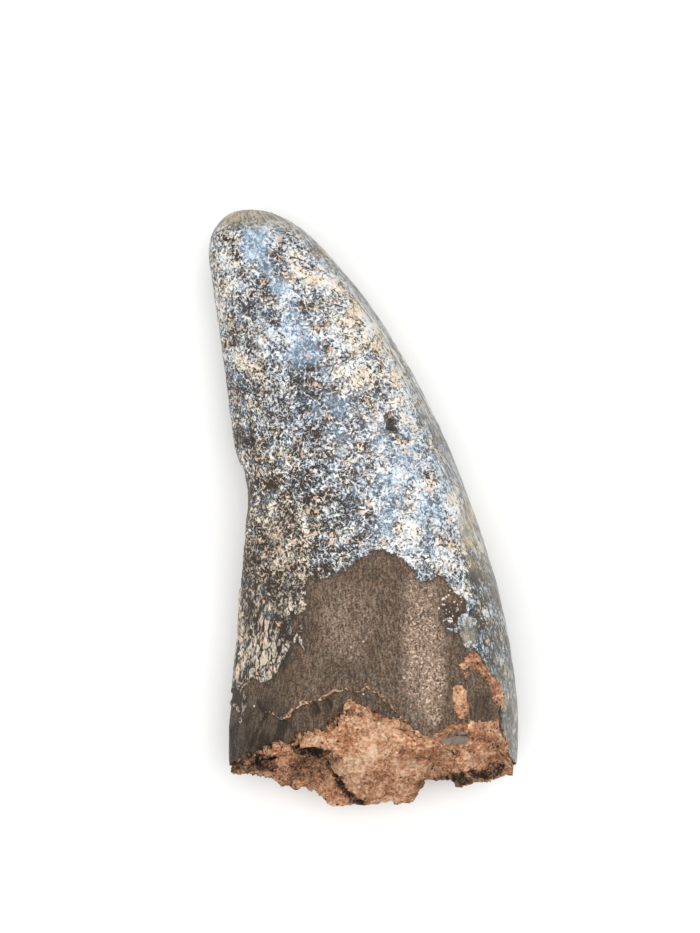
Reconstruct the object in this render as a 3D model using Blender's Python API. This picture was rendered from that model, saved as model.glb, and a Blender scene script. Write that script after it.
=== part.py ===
"""A fossil ceratosaurid tooth: the crown, and the sandstone that fills its broken base.

The tooth lies on its flatter inner face. Its tip points to +Y and its front edge to +X.
Run it with: blender --background --python part.py
"""

import math

import bmesh
import bpy
import numpy as np
from mathutils import Vector, noise

MM = 0.001
NEAR_ZERO = 1e-3

# Outline of the crown seen from above, in millimetres as (x, y).
# The hind edge runs from the broken base to the tip.
HIND_EDGE = [
    (-10.7, -23.6),
    (-10.9, -18.0),
    (-10.5, -14.0),
    (-10.1, -10.0),
    (-9.9, -4.0),
    (-10.0, 2.0),
    (-10.5, 6.3),
    (-11.1, 11.0),
    (-11.8, 15.8),
    (-12.4, 20.4),
    (-11.9, 22.3),
    (-10.8, 23.5),
]
TIP = (-9.2, 23.9)
# The front edge runs from the tip back to the base, in one long arc.
FRONT_EDGE = [
    (-7.2, 23.6),
    (-5.0, 22.4),
    (-2.9, 20.5),
    (0.9, 15.8),
    (5.1, 8.7),
    (8.2, 1.5),
    (10.6, -5.8),
    (12.1, -13.0),
    (12.4, -17.8),
    (12.2, -21.0),
    (12.0, -23.6),
]

# A chip is broken out of the hind edge half way up. This is the line it broke along, from above.
# Its face leans back toward the ground, by this share of the height.
HIND_CHIP = [
    (-10.5, 5.2),
    (-9.7, 3.2),
    (-9.2, 2.0),
    (-9.1, 0.8),
    (-9.4, -0.6),
    (-9.6, -3.4),
    (-9.9, -6.8),
]
HIND_CHIP_LEAN = 0.1

# Height of the outer and inner faces over the plane of the two edges, as a share of half the
# chord between them. The worn tip is nearly round and the base is flatter.
OUTER_BULGE_TIP = 0.8
OUTER_BULGE_BASE = 0.62
INNER_BULGE_TIP = 0.68
INNER_BULGE_BASE = 0.44

# How blunt each edge is: 0.5 is round as on an ellipse, and higher is sharper.
ROUND_EDGE = 0.5
OUTER_HIND_SHARPNESS = 0.76
INNER_HIND_SHARPNESS = 0.62
FRONT_SHARPNESS_UPPER = 0.6
FRONT_SHARPNESS_BASE = 0.47
WORN_TIP_SHARE = 0.2

# Height of the plane of the two edges over the surface that the tooth lies on, as (y, z).
# The inner face would dip a little under that surface along its middle, and is worn flat there.
EDGE_HEIGHT = [
    (-23.6, 5.5),
    (-18.0, 5.25),
    (-12.0, 5.2),
    (-5.0, 5.03),
    (2.0, 4.7),
    (8.0, 4.45),
    (14.0, 4.3),
    (20.0, 4.15),
    (24.0, 4.1),
]

# Slow unevenness of the crown's faces.
CROWN_WAVER = 0.1
CROWN_WAVER_SIZE = 5.0
CROWN_AXIS_HEIGHT = 5.0
WAVER_OCTAVES = 2

# Where the crown's wall ends on the outer face, as (x, y) from front to hind edge.
OUTER_RIM = [
    (12.3, -20.9),
    (11.4, -19.4),
    (10.2, -18.2),
    (7.6, -17.6),
    (4.4, -18.2),
    (3.0, -17.2),
    (0.4, -16.3),
    (-1.2, -15.8),
    (-2.5, -17.5),
    (-4.8, -18.2),
    (-7.9, -19.5),
    (-10.8, -20.8),
]
# Where it ends on the inner face, which lies on the ground.
INNER_RIM = [
    (12.3, -20.9),
    (10.5, -21.6),
    (8.4, -22.1),
    (4.0, -22.2),
    (0.0, -22.3),
    (-4.0, -22.0),
    (-8.0, -21.5),
    (-10.8, -20.9),
]
# A flake is gone from the outer face just above the rim. Past this line the wall is thinner.
FLAKE_EDGE = [
    (4.4, -18.4),
    (3.6, -17.0),
    (2.2, -15.7),
    (0.2, -14.5),
    (-1.6, -14.4),
    (-4.4, -15.4),
    (-6.0, -16.5),
    (-7.8, -16.4),
    (-9.2, -19.6),
]
FLAKE_DEPTH = 0.35
FLAKE_STEP = 0.5

# The socket in the base: how much of the wall's reach its rings keep, and how deep it is.
SOCKET_SHARES = (0.95, 0.88, 0.78, 0.66)
SOCKET_FLOOR_Y = -14.3
GAP_ALONG_Y = 0.3
GAP_ACROSS = 0.25

# How far the broken face of the sandstone reaches past the crown, seen from above.
STONE_REACH = [
    (12.3, -21.0),
    (10.5, -21.5),
    (8.4, -21.7),
    (6.2, -21.8),
    (4.6, -22.6),
    (3.2, -23.5),
    (1.0, -23.5),
    (-0.1, -23.9),
    (-2.9, -23.9),
    (-3.6, -23.1),
    (-6.8, -22.3),
    (-8.0, -21.6),
    (-10.8, -21.0),
]
# How far down the face its widest place is, and how quickly it gets there: 1 is a straight slope.
STONE_WIDEST = 0.62
STONE_ROLL_OVER = 0.62
FACE_LEAN = math.radians(60)

# The face is lumpy. The lumps fade out where it meets the crown.
STONE_LUMP = 0.8
STONE_LUMP_SIZE = 2.3
STONE_LUMP_FADE = 1.2

# A rounded boss stands up in the middle of the face, as (x, y, radius across, radius along, height).
BOSS = (-0.5, -19.6, 2.8, 3.0, 1.0)
# A crack runs round the boss. The block on the hind side of the crack sits lower.
CRACK = [
    (-7.2, -19.6),
    (-5.4, -19.5),
    (-3.7, -19.6),
    (-2.9, -20.0),
    (-2.2, -20.6),
    (-1.8, -21.4),
    (-1.2, -22.0),
    (-0.4, -22.7),
    (0.3, -23.4),
]
CRACK_WIDTH = 0.5
CRACK_DEPTH = 1.1
LOW_BLOCK_DROP = 1.0
LOW_BLOCK_STEP = 0.8
LOW_BLOCK_TO_X = 1.4

# These show on the upper part of the face only, and fade out by this share of the way down it.
FROM_ABOVE_TO = 0.77
FROM_ABOVE_FADE = 0.25

# Rings of faces round the crown, and cuts across the sandstone.
CROWN_SEGMENTS = 60
CROWN_RINGS = 40
CROWDING_AT_ENDS = 0.55
RIM_SHARE_RANGE = (0.6, 1.0)
RIM_SHARE_STEPS = 400
STONE_CUTS_ACROSS = 47
STONE_CUTS_DOWN = 19
STONE_CROWDING_AT_TOP = 1.35

DENTINE_BROWN = (0.20, 0.155, 0.12)
DENTINE_ROUGHNESS = 0.5
SANDSTONE_ORANGE = (0.52, 0.27, 0.15)
SANDSTONE_ROUGHNESS = 0.95


def smooth_path(points, samples_per_span=24):
    """Points along a curve that passes through all the given ones, close together."""
    points = np.array(points, float)
    ends = np.vstack([2 * points[0] - points[1], points, 2 * points[-1] - points[-2]])
    t = np.linspace(0, 1, samples_per_span, endpoint=False)[:, None]
    spans = []
    for before, start, end, after in zip(ends, ends[1:], ends[2:], ends[3:]):
        slope = end - before
        bend = 2 * before - 5 * start + 4 * end - after
        twist = 3 * start - before - 3 * end + after
        spans.append(start + 0.5 * (slope * t + bend * t**2 + twist * t**3))
    return np.vstack([*spans, points[-1:]])


def along(path, share):
    """The point a share of the way along a path, by length."""
    steps = np.linalg.norm(np.diff(path, axis=0), axis=1)
    length = np.concatenate([[0], np.cumsum(steps)]) / steps.sum()
    return np.stack([np.interp(share, length, path[:, k]) for k in (0, 1)], axis=-1)


def ease(t):
    """A smooth step from 0 to 1."""
    t = np.clip(t, 0, 1)
    return t * t * (3 - 2 * t)


def from_stations(stations, x):
    """The value at x, along straight runs between (x, value) pairs given in any order."""
    xs, values = np.array(sorted(map(tuple, stations))).T
    return np.interp(x, xs, values)


def waver(points, size, depth, seed):
    """A smooth random height for each point, the same on every run."""
    flat = points.reshape(-1, 3)
    shift = Vector((seed, 2.0 * seed, 3.0 * seed))
    heights = [noise.fractal(Vector(p) / size + shift, 1.0, 2.0, WAVER_OCTAVES) for p in flat]
    return depth * np.array(heights).reshape(points.shape[:-1])


def arch(u, front, hind):
    """Height of a face across the chord, 1 at its thickest. u is 1 at the front edge and -1 behind."""
    thickest = (hind - front) / (hind + front)
    toward_front = np.clip((1 - u) / (1 - thickest), 0, None) ** front
    toward_hind = np.clip((1 + u) / (1 + thickest), 0, None) ** hind
    return toward_front * toward_hind


OUTLINE = smooth_path([*HIND_EDGE, TIP, *FRONT_EDGE])
APEX = int(np.argmin(np.linalg.norm(OUTLINE - np.array(TIP), axis=1)))
HIND_PATH = OUTLINE[APEX::-1]
FRONT_PATH = OUTLINE[APEX:]
EDGE_HEIGHT_PATH = smooth_path(EDGE_HEIGHT)


def crown_surface(share, turn):
    """Points of the whole crown's outside, a share of the way from the tip, turned from the front
    edge over the outer face, the hind edge and the inner face."""
    hind = along(HIND_PATH, share)
    front = along(FRONT_PATH, share)
    middle = (hind + front) / 2
    reach = (front - hind) / 2
    half = np.linalg.norm(reach, axis=-1)
    u = np.cos(turn)
    plan = middle + reach * u[..., None]

    past_tip = ease(share / WORN_TIP_SHARE)
    front_sharpness = FRONT_SHARPNESS_UPPER + (FRONT_SHARPNESS_BASE - FRONT_SHARPNESS_UPPER) * ease(share)
    front_sharpness = ROUND_EDGE + past_tip * (front_sharpness - ROUND_EDGE)
    outer_hind = ROUND_EDGE + past_tip * (OUTER_HIND_SHARPNESS - ROUND_EDGE)
    inner_hind = ROUND_EDGE + past_tip * (INNER_HIND_SHARPNESS - ROUND_EDGE)
    outer_height = half * (OUTER_BULGE_TIP + (OUTER_BULGE_BASE - OUTER_BULGE_TIP) * share)
    inner_depth = half * (INNER_BULGE_TIP + (INNER_BULGE_BASE - INNER_BULGE_TIP) * share)

    edge_height = from_stations(EDGE_HEIGHT_PATH, middle[..., 1])
    z = np.where(
        np.sin(turn) >= 0,
        edge_height + outer_height * arch(u, front_sharpness, outer_hind),
        edge_height - inner_depth * arch(u, ROUND_EDGE, inner_hind),
    )
    return np.stack([plan[..., 0], plan[..., 1], z], axis=-1)


def rim_share(turn):
    """How far from the tip the crown's wall ends, for each way round."""
    shares = np.linspace(*RIM_SHARE_RANGE, RIM_SHARE_STEPS)
    found = []
    for angle in turn:
        wall = crown_surface(shares, np.full_like(shares, angle))
        stations = OUTER_RIM if math.sin(angle) >= 0 else INNER_RIM
        past = wall[:, 1] - from_stations(stations, wall[:, 0])
        found.append(shares[int(np.argmax(past <= 0))])
    return np.array(found)


def flaked(wall, outward, turn):
    """The wall with the flake above the rim gone from its outer face."""
    edge_y = from_stations(FLAKE_EDGE, wall[..., 0])
    xs = [x for x, _ in FLAKE_EDGE]
    inside = (wall[..., 0] > min(xs)) & (wall[..., 0] < max(xs)) & (np.sin(turn) > 0)
    step = ease(0.5 + (edge_y - wall[..., 1]) / FLAKE_STEP) * inside
    return wall - outward * (FLAKE_DEPTH * step)[..., None]


def chipped(wall):
    """The wall with the chip gone from its hind edge: what lies past the break is moved onto it."""
    across, along_edge = np.array(HIND_CHIP).T
    order = np.argsort(along_edge)
    y = wall[..., 1]
    break_x = np.interp(y, along_edge[order], across[order])
    beside = (y > along_edge.min()) & (y < along_edge.max())
    middle_height = (wall[..., 2].max(axis=-1, keepdims=True)) / 2
    break_x = break_x - HIND_CHIP_LEAN * (middle_height - wall[..., 2])
    wall[..., 0] = np.where(beside, np.maximum(wall[..., 0], break_x), wall[..., 0])
    return wall


def crown_wall(turn):
    """Rings of the crown's outside from the tip to the rim, worn flat where it lies."""
    even = np.linspace(0, 1, CROWN_RINGS + 1)[1:, None]
    crowded = even - CROWDING_AT_ENDS * np.sin(math.tau * even) / math.tau
    shares = crowded * rim_share(turn)
    turns = np.broadcast_to(turn, shares.shape)
    wall = crown_surface(shares, turns)
    top = crown_surface(shares, np.full_like(shares, math.pi / 2))
    outward = wall - top * [1, 1, 0] - np.array([0, 0, CROWN_AXIS_HEIGHT])
    outward /= np.linalg.norm(outward, axis=-1, keepdims=True)
    wall = flaked(wall, outward, turns)
    wall = wall + outward * waver(wall, CROWN_WAVER_SIZE, CROWN_WAVER, 1)[..., None]
    wall = chipped(wall)
    wall[..., 2] = np.maximum(wall[..., 2], 0)
    return wall


def socket_y(share, rim_y):
    """How deep the socket in the base is, from the rim at share 1 to its floor."""
    into = ease((1 - share) / (1 - SOCKET_SHARES[-1]))
    return rim_y + (SOCKET_FLOOR_Y - rim_y) * into


def crown_rings(wall):
    """Rings of the crown: the pole at the tip, its outside, then the socket in its base."""
    rim = wall[-1]
    centre = rim.mean(axis=0)
    tip = wall[0].mean(axis=0, keepdims=True)
    tip[0, 1] = TIP[1]
    rings = [tip, *wall]
    for share in SOCKET_SHARES:
        ring = centre + (rim - centre) * share
        ring[:, 1] = socket_y(share, rim[:, 1])
        rings.append(ring)
    floor = centre.copy()
    floor[1] = SOCKET_FLOOR_Y
    return [*rings, floor[None]]


def make_crown(wall):
    """The crown, lofted over its rings: the rows of a round primitive take their places, and its
    two poles take the first and last, which hold one point each."""
    rings = crown_rings(wall)
    rows = len(rings) - 1
    shape = bmesh.new()
    bmesh.ops.create_uvsphere(shape, u_segments=CROWN_SEGMENTS, v_segments=rows, radius=1)
    for vert in shape.verts:
        polar = math.acos(max(-1, min(1, vert.co.z)))
        row = round(polar / math.pi * rows)
        column = round(math.atan2(vert.co.y, vert.co.x) / math.tau * CROWN_SEGMENTS) % CROWN_SEGMENTS
        ring = rings[row]
        vert.co = Vector(ring[column % len(ring)]) * MM
    return finished("tooth_crown", shape, DENTINE_BROWN, DENTINE_ROUGHNESS)


def distance_to_path(x, y, path):
    """How far each point is from a path, less than 0 on its left."""
    spot = np.stack([x, y], axis=-1)
    nearest = np.full(x.shape, np.inf)
    side = np.ones(x.shape)
    for start, end in zip(path, path[1:]):
        run = end - start
        share = np.clip((spot - start) @ run / (run @ run), 0, 1)
        away = spot - (start + share[..., None] * run)
        distance = np.linalg.norm(away, axis=-1)
        closer = distance < nearest
        turn_side = np.sign(run[1] * away[..., 0] - run[0] * away[..., 1])
        side = np.where(closer, turn_side, side)
        nearest = np.minimum(nearest, distance)
    return nearest * side


def broken_face_y(x, down):
    """How far the face of the sandstone stands out at x, a share of the way down it."""
    outer_y = from_stations(OUTER_RIM, x) - GAP_ALONG_Y
    inner_y = from_stations(INNER_RIM, x) - GAP_ALONG_Y
    reach_y = np.minimum(from_stations(STONE_REACH, x), inner_y)
    over = np.clip(down / STONE_WIDEST, 0, 1) ** STONE_ROLL_OVER
    under = np.clip((down - STONE_WIDEST) / (1 - STONE_WIDEST), 0, 1) ** 2
    return outer_y + (reach_y - outer_y) * over + (inner_y - reach_y) * under


def face_relief(points, down, from_rim):
    """How much the face is raised: its lumps, the boss, the crack round it and the lower block."""
    x, y = points[:, 0], points[:, 1]
    from_above = ease((FROM_ABOVE_TO - down) / FROM_ABOVE_FADE)
    relief = waver(points, STONE_LUMP_SIZE, STONE_LUMP, 4)

    boss_x, boss_y, boss_across, boss_along, boss_height = BOSS
    from_boss = np.hypot((x - boss_x) / boss_across, (y - boss_y) / boss_along)
    relief += boss_height * ease(1 - from_boss) * from_above

    from_crack = distance_to_path(x, y, smooth_path(CRACK, 4))
    relief -= CRACK_DEPTH * np.exp(-((from_crack / CRACK_WIDTH) ** 2)) * from_above
    relief -= LOW_BLOCK_DROP * ease(from_crack / LOW_BLOCK_STEP) * from_above * (x < LOW_BLOCK_TO_X)
    return relief * ease(from_rim / STONE_LUMP_FADE)


def make_stone(wall, turn):
    """The sandstone, shaped from a cut cube: its -Y side is the broken face and the rest fits the
    socket with a small gap."""
    shape = bmesh.new()
    bmesh.ops.create_cube(shape, size=2)
    for axis, cuts in ((0, STONE_CUTS_ACROSS), (2, STONE_CUTS_DOWN), (1, len(SOCKET_SHARES) - 1)):
        runs = [e for e in shape.edges if abs(e.verts[0].co[axis] - e.verts[1].co[axis]) > NEAR_ZERO]
        bmesh.ops.subdivide_edges(shape, edges=runs, cuts=cuts, use_grid_fill=True)
    cube = np.array([v.co for v in shape.verts])
    across, deep = cube[:, 0], (cube[:, 1] + 1) / 2
    upright = 1 - 2 * ((1 - cube[:, 2]) / 2) ** STONE_CROWDING_AT_TOP

    # The square section of the cube becomes round, so that its sides follow the crown's rim.
    disc_x = across * np.sqrt(1 - upright**2 / 2)
    disc_z = upright * np.sqrt(1 - across**2 / 2)
    angle = np.arctan2(disc_z, disc_x) % math.tau
    side_share = np.interp(deep, np.linspace(0, 1, len(SOCKET_SHARES) + 1), (1, *SOCKET_SHARES))
    share = np.hypot(disc_x, disc_z)
    rim = np.stack([np.interp(angle, turn, wall[-1][:, k], period=math.tau) for k in range(3)], axis=-1)
    centre = wall[-1].mean(axis=0)
    from_centre = rim - centre
    radius = np.linalg.norm(from_centre[:, (0, 2)], axis=-1)
    inset = 1 - GAP_ACROSS / radius
    points = centre + from_centre * (share * side_share * inset)[:, None]
    points[:, 1] = socket_y(side_share, rim[:, 1]) - GAP_ALONG_Y

    face = deep < NEAR_ZERO
    tall = np.sqrt(np.clip(1 - disc_x**2, NEAR_ZERO, None))
    down = np.clip((1 - disc_z / tall) / 2, 0, 1)[face]
    front = points[face]
    front[:, 1] = broken_face_y(front[:, 0], down)
    lean = FACE_LEAN * (1 - down / STONE_WIDEST)
    outward = np.stack([np.zeros_like(lean), -np.cos(lean), np.sin(lean)], axis=-1)
    from_rim = ((1 - share) * radius)[face]
    points[face] = front + outward * face_relief(front, down, from_rim)[:, None]

    for vert, point in zip(shape.verts, points):
        vert.co = Vector(point) * MM
    return finished("sandstone_plug", shape, SANDSTONE_ORANGE, SANDSTONE_ROUGHNESS)


def finished(name, shape, colour, roughness):
    """An object with its own material, from a closed shape."""
    bmesh.ops.triangulate(shape, faces=shape.faces[:], quad_method="SHORT_EDGE")
    bmesh.ops.recalc_face_normals(shape, faces=shape.faces[:])
    mesh = bpy.data.meshes.new(name)
    shape.to_mesh(mesh)
    shape.free()
    mesh.shade_smooth()
    material = bpy.data.materials.new(name)
    material.use_nodes = True
    finish = material.node_tree.nodes["Principled BSDF"]
    finish.inputs["Base Color"].default_value = (*colour, 1)
    finish.inputs["Roughness"].default_value = roughness
    finish.inputs["Metallic"].default_value = 0
    mesh.materials.append(material)
    return bpy.data.objects.new(name, mesh)


def lie_over_origin(objects):
    """Moves all the meshes so that the middle of their common box is over the origin."""
    points = np.array([v.co for o in objects for v in o.data.vertices])
    middle = (points.min(axis=0) + points.max(axis=0)) / 2
    for o in objects:
        for vert in o.data.vertices:
            vert.co.x -= middle[0]
            vert.co.y -= middle[1]


def main():
    for o in list(bpy.data.objects):
        bpy.data.objects.remove(o, do_unlink=True)
    tooth = bpy.data.collections.new("fossil_tooth")
    bpy.context.scene.collection.children.link(tooth)

    turn = np.arange(CROWN_SEGMENTS) / CROWN_SEGMENTS * math.tau
    wall = crown_wall(turn)
    pieces = [make_crown(wall), make_stone(wall, turn)]
    lie_over_origin(pieces)
    for o in pieces:
        tooth.objects.link(o)


main()
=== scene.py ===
"""The looks of a fossil tooth: mottled enamel over brown dentine, and the sandstone in its base.

Sizes are in millimetres, where no comment says otherwise. Outlines and spots are given where
the camera sees them, on the plane of the crown's two edges, with the tip toward +Y and the
front edge toward +X.
"""

import math

import bpy
import numpy as np
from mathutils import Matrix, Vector, noise


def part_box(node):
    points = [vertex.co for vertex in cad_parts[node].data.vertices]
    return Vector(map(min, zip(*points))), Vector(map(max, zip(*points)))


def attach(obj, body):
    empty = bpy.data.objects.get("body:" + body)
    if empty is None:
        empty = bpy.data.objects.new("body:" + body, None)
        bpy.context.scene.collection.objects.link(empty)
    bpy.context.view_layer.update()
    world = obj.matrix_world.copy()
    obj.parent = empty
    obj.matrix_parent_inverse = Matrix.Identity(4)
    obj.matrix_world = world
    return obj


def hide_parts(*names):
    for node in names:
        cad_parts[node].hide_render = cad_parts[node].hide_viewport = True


bl_info = {
    "name": "Fossil Tooth",
    "version": (1, 0, 0),
    "blender": (4, 5, 0),
    "location": "3D View > Sidebar > Fossil Tooth",
    "description": "Models and finishes a fossil tooth with sandstone in its base",
    "category": "Add Mesh",
}

MM = 0.001
PER_METRE = 1000.0

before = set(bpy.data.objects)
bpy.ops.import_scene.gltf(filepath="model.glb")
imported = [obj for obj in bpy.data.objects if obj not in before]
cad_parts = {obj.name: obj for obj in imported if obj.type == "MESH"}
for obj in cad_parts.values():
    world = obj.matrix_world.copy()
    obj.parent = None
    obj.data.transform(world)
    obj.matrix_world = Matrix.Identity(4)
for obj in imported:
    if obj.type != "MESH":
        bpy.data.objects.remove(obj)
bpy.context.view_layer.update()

# The photograph: its size and the pixel that shows the origin, and how many of its pixels a
# millimetre takes on the plane of the crown's edges.
PHOTO_PIXELS = (700, 933)
ORIGIN_PIXEL = (363, 508)
PIXELS_PER_MM = 12.5
EDGE_PLANE = 5.0
CAMERA_LENS = 120.0
CAMERA_SENSOR = 36.0
CAMERA_CENTRE = (
    (PHOTO_PIXELS[0] / 2 - ORIGIN_PIXEL[0]) / PIXELS_PER_MM,
    (ORIGIN_PIXEL[1] - PHOTO_PIXELS[1] / 2) / PIXELS_PER_MM,
)
CAMERA_DISTANCE = PHOTO_PIXELS[1] / PIXELS_PER_MM * CAMERA_LENS / CAMERA_SENSOR

# Size of the even faces that each piece is remade with, and how near two corners of loose
# triangles are the same corner, in metres.
CROWN_VOXEL = 0.185
STONE_VOXEL = 0.125
MERGE_DISTANCE = 0.00001

# Relief is nothing on the CAD box and whole this far inside it, what still rises past it is
# squeezed back into the margin, and its strength has this many steps.
ROOM_TO_BOX = 0.3
BOX_MARGIN = 0.06
WEIGHT_STEPS = 60

# Soft lumps of the relief, as (size, height).
CRUST_CRUMBS = (0.35, 0.3)
ENAMEL_ROUGHNESS = (0.4, 0.06)
SLOW_SWELLS = (1.8, 0.12)
STONE_LUMPS = (1.1, 0.8)
STONE_CRUMBS = (0.42, 0.5)
STONE_GRAINS = (0.2, 0.3)
LUMP_LAYERS = 2

# How ragged the outlines and spots are, as (size of the lumps, depth, random seed).
FINE_RAGGED = (0.5, 0.22, 3)
WIDE_RAGGED = (1.4, 0.2, 8)
STONE_TONES_RAGGED = (0.6, 0.3, 5)
STONE_CRACK_RAGGED = (0.6, 0.2, 5)

# The crown's edges are read in this many slices along y, and the patterns that run lengthwise
# are drawn as if every slice had this width.
EDGE_ROWS = 60
CROWN_WIDTH = 23.0

# The broken base: the middle of its width, and the y below which its face is sandy, it has no
# enamel, its two ends lie, and sandstone sticks to the hidden side.
BASE_MIDDLE = 0.3
BASE_SANDY_BELOW = -14.0
BASE_BARE_BELOW = -15.0
BASE_ENDS_BELOW = -17.0
HIDDEN_CRUST_BELOW = -21.4
# Over these values of y the chip in the hind edge begins and ends.
CHIP_START = (-7.6, -6.4)
CHIP_END = (3.4, 4.4)

# Where the enamel is gone from the outer face, and where it ends on the inner face.
BARE_ON_OUTER_FACE = [
    (-13.2, -14.5), (-10.5, -14.4), (-9.8, -14.6), (-9.3, -14.0), (-8.9, -13.5), (-8.3, -13.9),
    (-7.7, -14.1), (-7.1, -13.2), (-6.5, -12.1), (-5.8, -11.2), (-5.6, -10.4), (-5.8, -9.6),
    (-5.6, -8.9), (-4.8, -8.4), (-4.4, -7.8), (-4.8, -7.4), (-4.6, -6.7), (-4.7, -6.2),
    (-4.5, -5.6), (-3.4, -5.8), (-2.6, -5.5), (-2.0, -5.0), (-1.4, -5.0), (-0.6, -4.3),
    (0.2, -4.0), (0.8, -3.7), (0.9, -3.3), (1.7, -3.3), (2.1, -3.5), (2.8, -4.0),
    (3.8, -4.5), (4.4, -5.0), (4.3, -5.5), (4.9, -5.8), (5.5, -5.7), (6.2, -5.4),
    (6.6, -5.6), (7.0, -6.2), (7.5, -6.8), (8.0, -7.0), (8.3, -7.6), (8.2, -8.3),
    (7.8, -8.8), (7.7, -9.8), (8.0, -10.8), (8.6, -11.3), (9.2, -11.2), (9.8, -12.2),
    (9.9, -12.9), (10.6, -13.7), (11.1, -14.6), (11.4, -16.0), (11.2, -17.1), (11.4, -18.2),
    (11.6, -19.4), (11.5, -21.0), (11.5, -25.8), (-13.2, -25.8),
]
BARE_ON_INNER_FACE = [
    (-13.2, -14.5), (-10.0, -14.9), (-7.6, -14.2), (-5.2, -15.6), (-3.0, -15.2), (-0.6, -16.6),
    (1.8, -16.4), (4.4, -18.0), (7.2, -18.3), (9.4, -19.8), (11.6, -21.0), (11.6, -25.8),
    (-13.2, -25.8),
]
# Thin strokes of enamel left on the dentine, as (half width, path).
ENAMEL_STROKES = [
    (0.16, [(-10.2, -13.0), (-9.8, -14.2), (-9.5, -15.1), (-9.6, -16.0), (-9.8, -16.9)]),
    (0.14, [(-10.9, -14.4), (-10.6, -15.4), (-10.1, -16.1)]),
    (0.10, [(-5.0, -9.5), (-5.3, -10.1), (-5.1, -10.6), (-4.8, -11.4)]),
    (0.10, [(-5.4, -10.3), (-5.5, -10.7)]),
    (0.14, [(6.5, -9.0), (6.9, -8.8), (7.1, -9.1)]),
    (0.12, [(7.2, -9.0), (7.5, -9.2), (7.5, -9.7)]),
    (0.14, [(6.8, -9.6), (7.3, -9.9)]),
    (0.13, [(7.58, -8.0), (7.66, -8.2)]),
]

# Where sandstone sticks to the outer face: along the rim, and in three patches above it.
CRUST_AT_RIM = [
    (-13.0, -21.0), (-10.6, -20.6), (-9.2, -20.2), (-8.6, -19.8), (-7.9, -19.4), (-6.2, -19.0),
    (-5.3, -18.6), (-4.8, -18.0), (-2.8, -18.2), (-2.5, -17.7), (-1.8, -16.3), (-1.3, -15.3),
    (0.4, -16.2), (1.4, -16.7), (3.0, -17.0), (3.9, -17.7), (4.9, -18.2), (6.0, -18.1),
    (6.7, -17.7), (7.5, -17.3), (8.6, -17.0), (9.7, -17.1), (11.0, -16.7), (11.0, -17.8),
    (11.6, -18.8), (11.6, -19.7), (11.5, -20.7), (11.5, -26.0), (-13.0, -26.0),
]
CRUST_BAND = [
    (7.8, -12.5), (8.2, -12.1), (8.6, -11.5), (9.0, -11.4), (9.5, -11.8), (9.8, -12.6),
    (10.7, -13.8), (11.3, -14.7), (11.4, -16.1), (10.9, -15.7), (10.4, -15.3), (10.2, -14.4),
    (9.4, -13.4), (9.2, -12.9), (8.4, -12.8), (8.0, -13.0),
]
CRUST_PATCH = [
    (7.3, -14.6), (7.7, -14.3), (8.3, -14.5), (8.4, -15.2), (8.5, -16.4), (8.1, -16.9),
    (7.5, -16.6), (7.2, -15.8),
]
CRUST_CHIP = [(8.1, -13.2), (8.5, -13.1), (8.6, -13.5), (8.3, -13.7)]
BARE_IN_CRUST = [
    (6.2, -18.7), (6.7, -18.4), (7.1, -18.1), (7.6, -17.9), (8.25, -17.8), (8.55, -18.2),
    (8.5, -18.64), (7.9, -18.9), (7.1, -18.95), (6.4, -18.8),
]
# The edge that a flake of dentine broke along, the sandy line on it, and the ground that it
# left bare below.
FLAKE_EDGE = [
    (-7.84, -16.32), (-7.44, -16.5), (-6.88, -16.85), (-6.4, -16.9), (-5.95, -16.56), (-5.68, -16.13),
    (-4.96, -15.7), (-4.45, -15.44), (-4.0, -15.28), (-3.36, -15.1), (-2.7, -14.8), (-2.08, -14.56),
    (-1.44, -14.45), (-1.04, -14.64), (-0.64, -14.7), (0.0, -14.45), (0.4, -14.3), (0.88, -14.56),
    (1.12, -14.8), (1.36, -15.1), (1.92, -15.52), (2.4, -16.0), (3.04, -16.64), (3.6, -17.12),
]
FLAKE_LINE_HALF_WIDTH = 0.09
FLAKE_BELOW = FLAKE_EDGE + [(3.6, -19.0), (-7.0, -20.0), (-9.6, -20.6), (-9.0, -18.4)]

# Soft-edged spots of colour on the enamel, as (x, y, half width, half height, strength).
PALE_BLUE_SPOTS = [
    (-8.7, 21.0, 1.3, 1.8, 1.0), (-7.2, 22.0, 0.9, 0.6, 0.5), (-8.1, 19.2, 1.1, 1.0, 0.6),
    (-6.6, 17.8, 1.0, 0.8, 0.9), (-5.6, 14.8, 1.2, 1.8, 0.7), (-4.8, 12.5, 1.6, 1.8, 0.85),
    (-3.3, 10.9, 0.8, 0.8, 0.5), (-2.6, 8.0, 2.2, 1.4, 0.35), (-1.4, 5.4, 1.4, 1.8, 0.35),
    (1.2, 5.0, 1.2, 1.6, 0.25), (2.3, 1.8, 1.8, 2.0, 0.4), (3.0, 4.2, 1.4, 1.3, 0.3),
    (5.2, 3.4, 1.1, 0.8, 0.3), (1.8, -1.1, 1.1, 1.4, 0.35), (5.0, -0.3, 1.6, 1.1, 0.35),
]
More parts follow.
